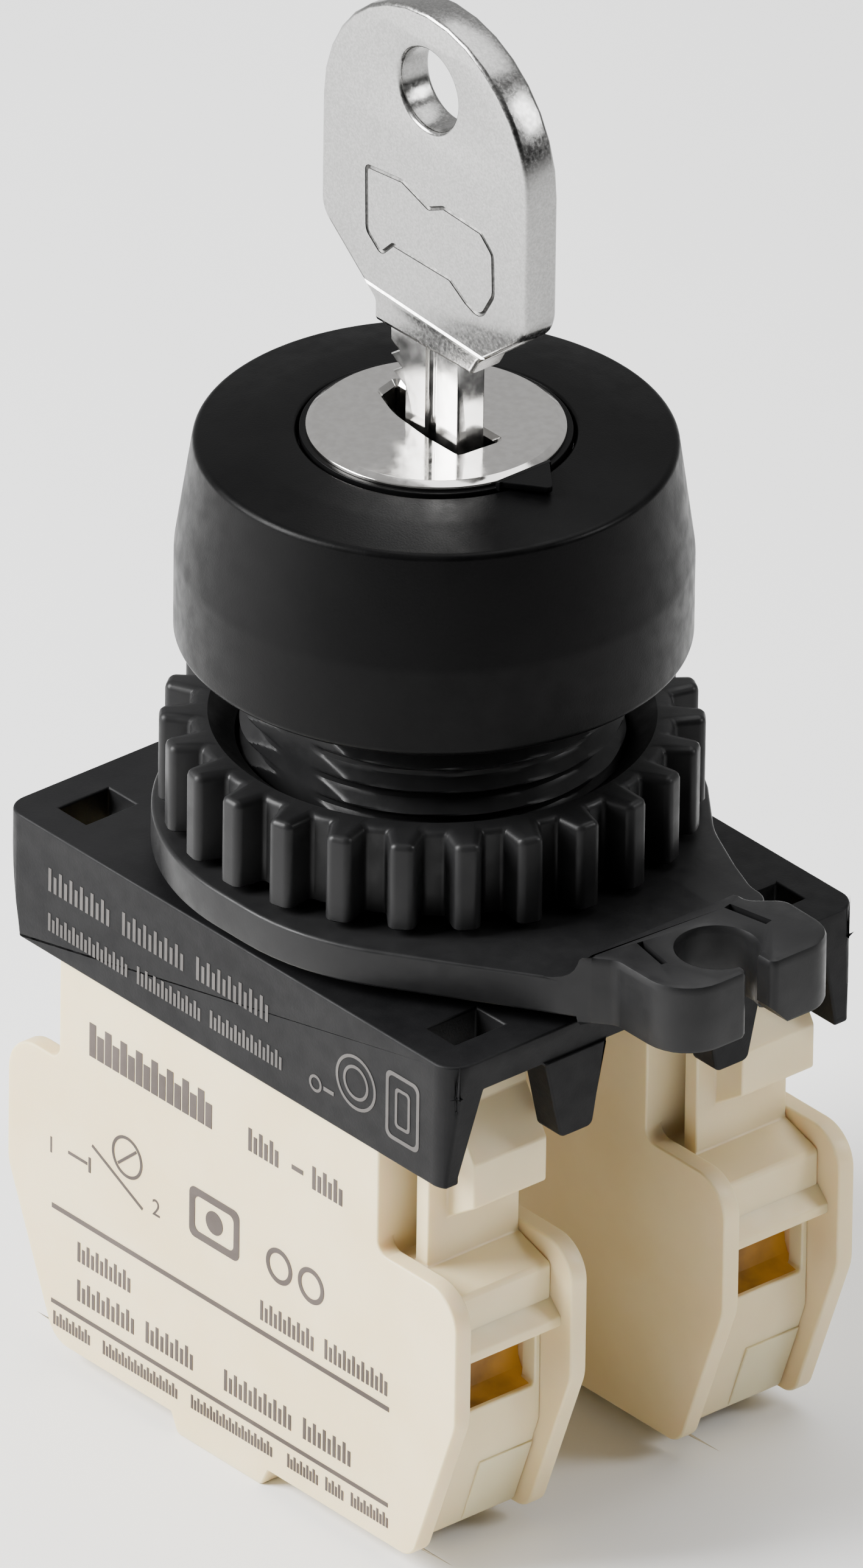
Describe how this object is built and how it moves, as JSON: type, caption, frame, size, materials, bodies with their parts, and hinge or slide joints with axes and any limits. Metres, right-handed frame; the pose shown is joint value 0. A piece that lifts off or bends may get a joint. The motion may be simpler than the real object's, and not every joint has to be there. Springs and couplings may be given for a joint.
{
  "type": "selector key switch",
  "caption": "Panel-mounted key selector switch: round head with key lock, toothed ring nut, locking lever, block holder and clip-in contact blocks.",
  "frame": {"origin": "on the switch axis, at the panel's front face, where the head's underside seats", "axes": "+Z out of the panel towards the user, +X the way the arrow, key and lever tab point"},
  "size_m": [0.0479, 0.0318, 0.0894],
  "materials": {
    "black_plastic": "satin moulded plastic",
    "ivory_plastic": "satin moulded plastic",
    "white_plastic": "smooth moulded plastic",
    "nickel": "satin nickel plate",
    "key_nickel": "nickel-plated brass, lightly worn",
    "zinc": "die-cast",
    "brass": "stamped, dull",
    "steel": "zinc-plated steel",
    "rubber": "matt"
  },
  "bodies": {
    "switch_frame": {"head_bezel": "black_plastic", "panel_gasket": "rubber", "threaded_neck": "black_plastic", "lock_barrel": "zinc", "pusher_guide": "black_plastic", "holder_base": "black_plastic", "front_housing": "ivory_plastic", "front_cover": "ivory_plastic", "front_return_spring": "steel", "front_terminal_left": "brass", "front_terminal_right": "brass", "rear_housing": "ivory_plastic", "rear_cover": "ivory_plastic", "rear_return_spring": "steel", "rear_terminal_left": "brass", "rear_terminal_right": "brass"},
    "lock_rotor": {"lock_plug": "nickel", "pointer_ring": "black_plastic", "wafer_tumblers": "brass", "wafer_springs": "steel", "plug_clip": "steel", "cam_rotor": "white_plastic", "cam_screw": "steel"},
    "key": {"key": "key_nickel"},
    "ring_nut": {"ring_nut": "black_plastic"},
    "locking_lever": {"locking_lever": "black_plastic"},
    "pusher_front": {"pusher_front": "white_plastic"},
    "pusher_rear": {"pusher_rear": "white_plastic"},
    "front_plunger": {"front_plunger": "white_plastic", "front_contact_bridge": "brass"},
    "rear_plunger": {"rear_plunger": "white_plastic", "rear_contact_bridge": "brass"},
    "front_clamp_left": {"front_clamp_left": "steel"},
    "front_screw_left": {"front_screw_left": "steel"},
    "front_clamp_right": {"front_clamp_right": "steel"},
    "front_screw_right": {"front_screw_right": "steel"},
    "rear_clamp_left": {"rear_clamp_left": "steel"},
    "rear_screw_left": {"rear_screw_left": "steel"},
    "rear_clamp_right": {"rear_clamp_right": "steel"},
    "rear_screw_right": {"rear_screw_right": "steel"}
  },
  "joints": [
    {"name": "lock_turn", "type": "hinge", "parent": "switch_frame", "child": "lock_rotor", "pos_m": [0, 0, 0], "axis": [0, 0, -1], "range_deg": [0, 90]},
    {"name": "key_pull", "type": "slide", "parent": "lock_rotor", "child": "key", "axis": [0, 0, 1], "range_m": [0, 0.016]},
    {"name": "ring_nut_turn", "type": "hinge", "parent": "switch_frame", "child": "ring_nut", "pos_m": [0, 0, -0.008], "axis": [0, 0, 1], "continuous": true},
    {"name": "lever_turn", "type": "hinge", "parent": "switch_frame", "child": "locking_lever", "pos_m": [0, 0, -0.0125], "axis": [0, 0, 1], "range_deg": [0, 30]},
    {"name": "pusher_front_travel", "type": "slide", "parent": "switch_frame", "child": "pusher_front", "axis": [0, 0, -1], "range_m": [0, 0.00251]},
    {"name": "pusher_rear_travel", "type": "slide", "parent": "switch_frame", "child": "pusher_rear", "axis": [0, 0, -1], "range_m": [0, 0.00251]},
    {"name": "front_plunger_travel", "type": "slide", "parent": "switch_frame", "child": "front_plunger", "axis": [0, 0, -1], "range_m": [0, 0.0025], "deforming": ["front_return_spring"]},
    {"name": "rear_plunger_travel", "type": "slide", "parent": "switch_frame", "child": "rear_plunger", "axis": [0, 0, -1], "range_m": [0, 0.00251], "deforming": ["rear_return_spring"]},
    {"name": "front_clamp_left_lift", "type": "slide", "parent": "switch_frame", "child": "front_clamp_left", "axis": [0, 0, 1], "range_m": [0, 0.0024]},
    {"name": "front_screw_left_turn", "type": "hinge", "parent": "front_clamp_left", "child": "front_screw_left", "pos_m": [-0.0128, -0.01, -0.0413], "axis": [0, 0, 1], "range_deg": [0, 1729]},
    {"name": "front_clamp_right_lift", "type": "slide", "parent": "switch_frame", "child": "front_clamp_right", "axis": [0, 0, 1], "range_m": [0, 0.0024]},
    {"name": "front_screw_right_turn", "type": "hinge", "parent": "front_clamp_right", "child": "front_screw_right", "pos_m": [0.0128, -0.01, -0.0413], "axis": [0, 0, 1], "range_deg": [0, 1729]},
    {"name": "rear_clamp_left_lift", "type": "slide", "parent": "switch_frame", "child": "rear_clamp_left", "axis": [0, 0, 1], "range_m": [0, 0.0024]},
    {"name": "rear_screw_left_turn", "type": "hinge", "parent": "rear_clamp_left", "child": "rear_screw_left", "pos_m": [-0.0128, 0.01, -0.0413], "axis": [0, 0, 1], "range_deg": [0, 1729]},
    {"name": "rear_clamp_right_lift", "type": "slide", "parent": "switch_frame", "child": "rear_clamp_right", "axis": [0, 0, 1], "range_m": [0, 0.0024]},
    {"name": "rear_screw_right_turn", "type": "hinge", "parent": "rear_clamp_right", "child": "rear_screw_right", "pos_m": [0.0128, 0.01, -0.0413], "axis": [0, 0, 1], "range_deg": [0, 1729]}
  ],
  "couplings": [
    {"joint": "pusher_front_travel", "follows": "front_plunger_travel", "ratio": 1},
    {"joint": "pusher_rear_travel", "follows": "front_plunger_travel", "ratio": 1},
    {"joint": "rear_plunger_travel", "follows": "front_plunger_travel", "ratio": 1},
    {"joint": "lock_turn", "follows": "front_plunger_travel", "rad_per_m": 628.3},
    {"joint": "front_screw_left_turn", "follows": "front_clamp_left_lift", "rad_per_m": 12566},
    {"joint": "front_screw_right_turn", "follows": "front_clamp_right_lift", "rad_per_m": 12566},
    {"joint": "rear_screw_left_turn", "follows": "rear_clamp_left_lift", "rad_per_m": 12566},
    {"joint": "rear_screw_right_turn", "follows": "rear_clamp_right_lift", "rad_per_m": 12566}
  ]
}
